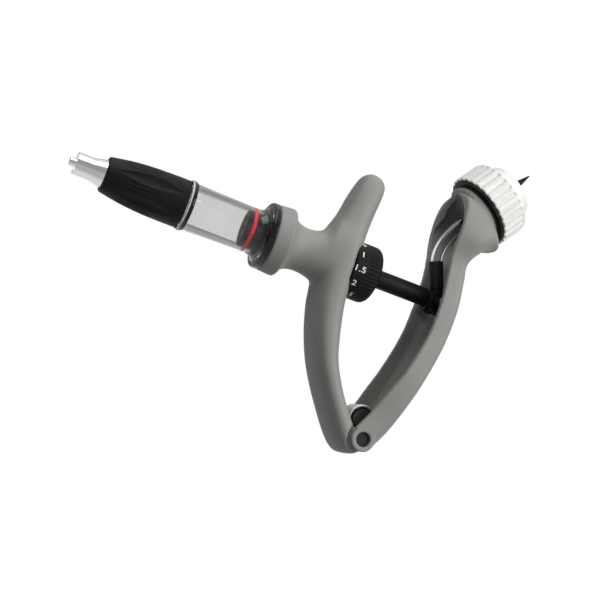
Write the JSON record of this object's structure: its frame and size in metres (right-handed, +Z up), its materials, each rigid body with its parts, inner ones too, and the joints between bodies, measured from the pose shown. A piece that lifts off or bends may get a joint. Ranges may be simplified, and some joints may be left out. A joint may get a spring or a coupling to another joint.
{
  "type": "automatic syringe",
  "caption": "Hand-held automatic syringe with a clear barrel, numbered dose wheel, sprung squeeze lever and a knurled bottle holder that feeds the piston through a hose.",
  "frame": {"origin": "centre of the end of the male Luer tip", "axes": "-X out of the needle fitting along the barrel's axis, +Z up from the hinge towards the barrel, +Y to the left seen from behind the lever"},
  "size_m": [0.2192, 0.0386, 0.1622],
  "materials": {
    "grip_plastic": "satin warm grey moulded plastic",
    "black_plastic": "satin black moulded plastic",
    "gloss_black": "glossy black moulded plastic",
    "clear_plastic": "clear polished plastic",
    "clear_hose": "clear flexible hose",
    "chrome": "polished chrome plating",
    "steel": "bright spring steel",
    "dark_steel": "darkened steel",
    "black_rubber": "matt black rubber",
    "red_rubber": "red silicone rubber",
    "white_plastic": "satin off-white moulded plastic"
  },
  "bodies": {
    "grip": {"front_grip": "grip_plastic", "barrel": "clear_plastic", "barrel_seat_ring": "gloss_black", "flange_ring": "gloss_black", "front_nut": "black_plastic", "luer_connector": "chrome", "luer_seal": "black_rubber", "rod_guide_bush": "black_plastic", "outlet_valve_spring": "steel", "return_spring": "steel", "spring_core": "black_plastic"},
    "lever": {"rear_lever": "grip_plastic", "hinge_pin": "dark_steel", "bottle_spike": "black_plastic", "cap_gasket": "black_rubber", "hose": "clear_hose"},
    "plunger": {"piston": "gloss_black", "piston_o_ring": "red_rubber", "piston_rod": "black_plastic", "inlet_valve_spring": "steel"},
    "elbow": {"hose_elbow": "black_plastic", "hose_sleeve": "black_rubber"},
    "wheel": {"dose_wheel": "black_plastic"},
    "cap": {"bottle_cap": "white_plastic"},
    "outlet_ball": {"outlet_valve_ball": "steel"},
    "inlet_ball": {"inlet_valve_ball": "steel"}
  },
  "joints": [
    {"name": "squeeze", "type": "hinge", "parent": "grip", "child": "lever", "pos_m": [0.1672, 0, -0.076], "axis": [0, -1, 0], "range_deg": [0, 14.73], "stiffness_Nm_per_rad": 1.2, "springref_deg": -17.19, "deforming": ["return_spring"]},
    {"name": "piston_slide", "type": "slide", "parent": "grip", "child": "plunger", "axis": [-1, 0, 0], "range_m": [0, 0.01966]},
    {"name": "elbow_pivot", "type": "hinge", "parent": "lever", "child": "elbow", "pos_m": [0.1874, 0, -0.00134], "axis": [0, -1, 0], "range_deg": [-14.75, 0], "deforming": ["hose"]},
    {"name": "dose_turn", "type": "hinge", "parent": "grip", "child": "wheel", "pos_m": [0.1455, 0, 0], "axis": [1, 0, 0], "continuous": true},
    {"name": "cap_turn", "type": "hinge", "parent": "lever", "child": "cap", "pos_m": [0.1963, 0, 0.0502], "axis": [0.6088, 0, 0.7934], "continuous": true},
    {"name": "outlet_valve", "type": "slide", "parent": "grip", "child": "outlet_ball", "axis": [-1, 0, 0], "range_m": [0, 0.0008], "stiffness_N_per_m": 150, "springref_m": -0.001, "deforming": ["outlet_valve_spring"]},
    {"name": "inlet_valve", "type": "slide", "parent": "plunger", "child": "inlet_ball", "axis": [-1, 0, 0], "range_m": [0, 0.0008], "stiffness_N_per_m": 150, "springref_m": -0.001, "deforming": ["inlet_valve_spring"]}
  ],
  "couplings": [
    {"joint": "piston_slide", "follows": "squeeze", "m_per_rad": 0.076423},
    {"joint": "elbow_pivot", "follows": "squeeze", "ratio": -1}
  ]
}
